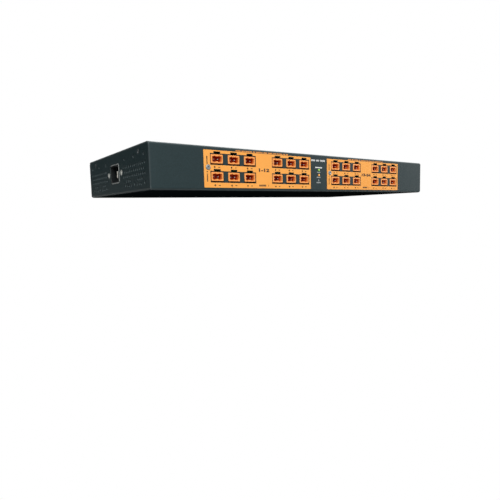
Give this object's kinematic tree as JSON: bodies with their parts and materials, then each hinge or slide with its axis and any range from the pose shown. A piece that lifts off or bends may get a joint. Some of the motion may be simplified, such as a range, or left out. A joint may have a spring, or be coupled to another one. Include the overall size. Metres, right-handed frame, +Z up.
{
  "type": "dc power distribution unit",
  "caption": "Flat rack-mount box with rows of orange two-pin DC sockets in printed banks, a mains inlet and vents at one end, a fan at the other and a rocker switch behind",
  "frame": {"origin": "middle of the underside", "axes": "+X along the outlet face towards the fan end, +Y from the outlet face to the switch face, +Z up"},
  "size_m": [0.4323, 0.1931, 0.0437],
  "materials": {
    "case_paint": "fine-textured charcoal powder coat",
    "label_film": "orange printed film",
    "outlet_plastic": "moulded orange plastic",
    "contact_metal": "tin-plated contact",
    "board_laminate": "green solder-masked laminate",
    "fuse_body": "yellow coated disc",
    "standoff_metal": "turned metal",
    "lamp_green": "tinted clear resin",
    "lamp_amber": "tinted clear resin",
    "black_plastic": "moulded black plastic",
    "button_grey": "moulded grey plastic",
    "rocker_red": "moulded red plastic",
    "marker_white": "white film to write on",
    "supply_metal": "bare folded metal",
    "busbar_copper": "bare copper strip"
  },
  "bodies": {
    "case": {"chassis_tray": "case_paint", "top_cover": "case_paint", "board_standoffs": "standoff_metal", "status_board": "board_laminate", "power_lamp": "lamp_green", "fault_lamp": "lamp_amber", "reset_switch": "black_plastic", "inlet_housing": "black_plastic", "inlet_blades": "contact_metal", "fan_frame": "black_plastic", "switch_housing": "black_plastic", "switch_tabs": "contact_metal", "marker_strip": "marker_white", "outlet_label_1": "label_film", "outlet_pins_1": "contact_metal", "outlet_board_1": "board_laminate", "outlet_fuses_1": "fuse_body", "busbars_1": "busbar_copper", "supply_case_1": "supply_metal", "supply_terminals_1": "black_plastic", "outlet_label_2": "label_film", "outlet_pins_2": "contact_metal", "outlet_board_2": "board_laminate", "outlet_fuses_2": "fuse_body", "busbars_2": "busbar_copper", "supply_case_2": "supply_metal", "supply_terminals_2": "black_plastic", "outlet_1_01": "outlet_plastic", "outlet_1_02": "outlet_plastic", "outlet_1_03": "outlet_plastic", "outlet_1_04": "outlet_plastic", "outlet_1_05": "outlet_plastic", "outlet_1_06": "outlet_plastic", "outlet_1_07": "outlet_plastic", "outlet_1_08": "outlet_plastic", "outlet_1_09": "outlet_plastic", "outlet_1_10": "outlet_plastic", "outlet_1_11": "outlet_plastic", "outlet_1_12": "outlet_plastic", "outlet_2_01": "outlet_plastic", "outlet_2_02": "outlet_plastic", "outlet_2_03": "outlet_plastic", "outlet_2_04": "outlet_plastic", "outlet_2_05": "outlet_plastic", "outlet_2_06": "outlet_plastic", "outlet_2_07": "outlet_plastic", "outlet_2_08": "outlet_plastic", "outlet_2_09": "outlet_plastic", "outlet_2_10": "outlet_plastic", "outlet_2_11": "outlet_plastic", "outlet_2_12": "outlet_plastic"},
    "rocker": {"switch_rocker": "rocker_red"},
    "reset": {"reset_button": "button_grey"},
    "rotor": {"fan_rotor": "black_plastic"}
  },
  "joints": [
    {"name": "rocker_tilt", "type": "hinge", "parent": "case", "child": "rocker", "pos_m": [-0.1797, 0.0935, 0.02185], "axis": [-1, 0, 0], "range_deg": [0, 22]},
    {"name": "reset_press", "type": "slide", "parent": "case", "child": "reset", "axis": [0, 1, 0], "range_m": [0, 0.0005], "stiffness_N_per_m": 600},
    {"name": "fan_spin", "type": "hinge", "parent": "case", "child": "rotor", "pos_m": [0.1948, 0, 0.02185], "axis": [1, 0, 0], "continuous": true}
  ]
}
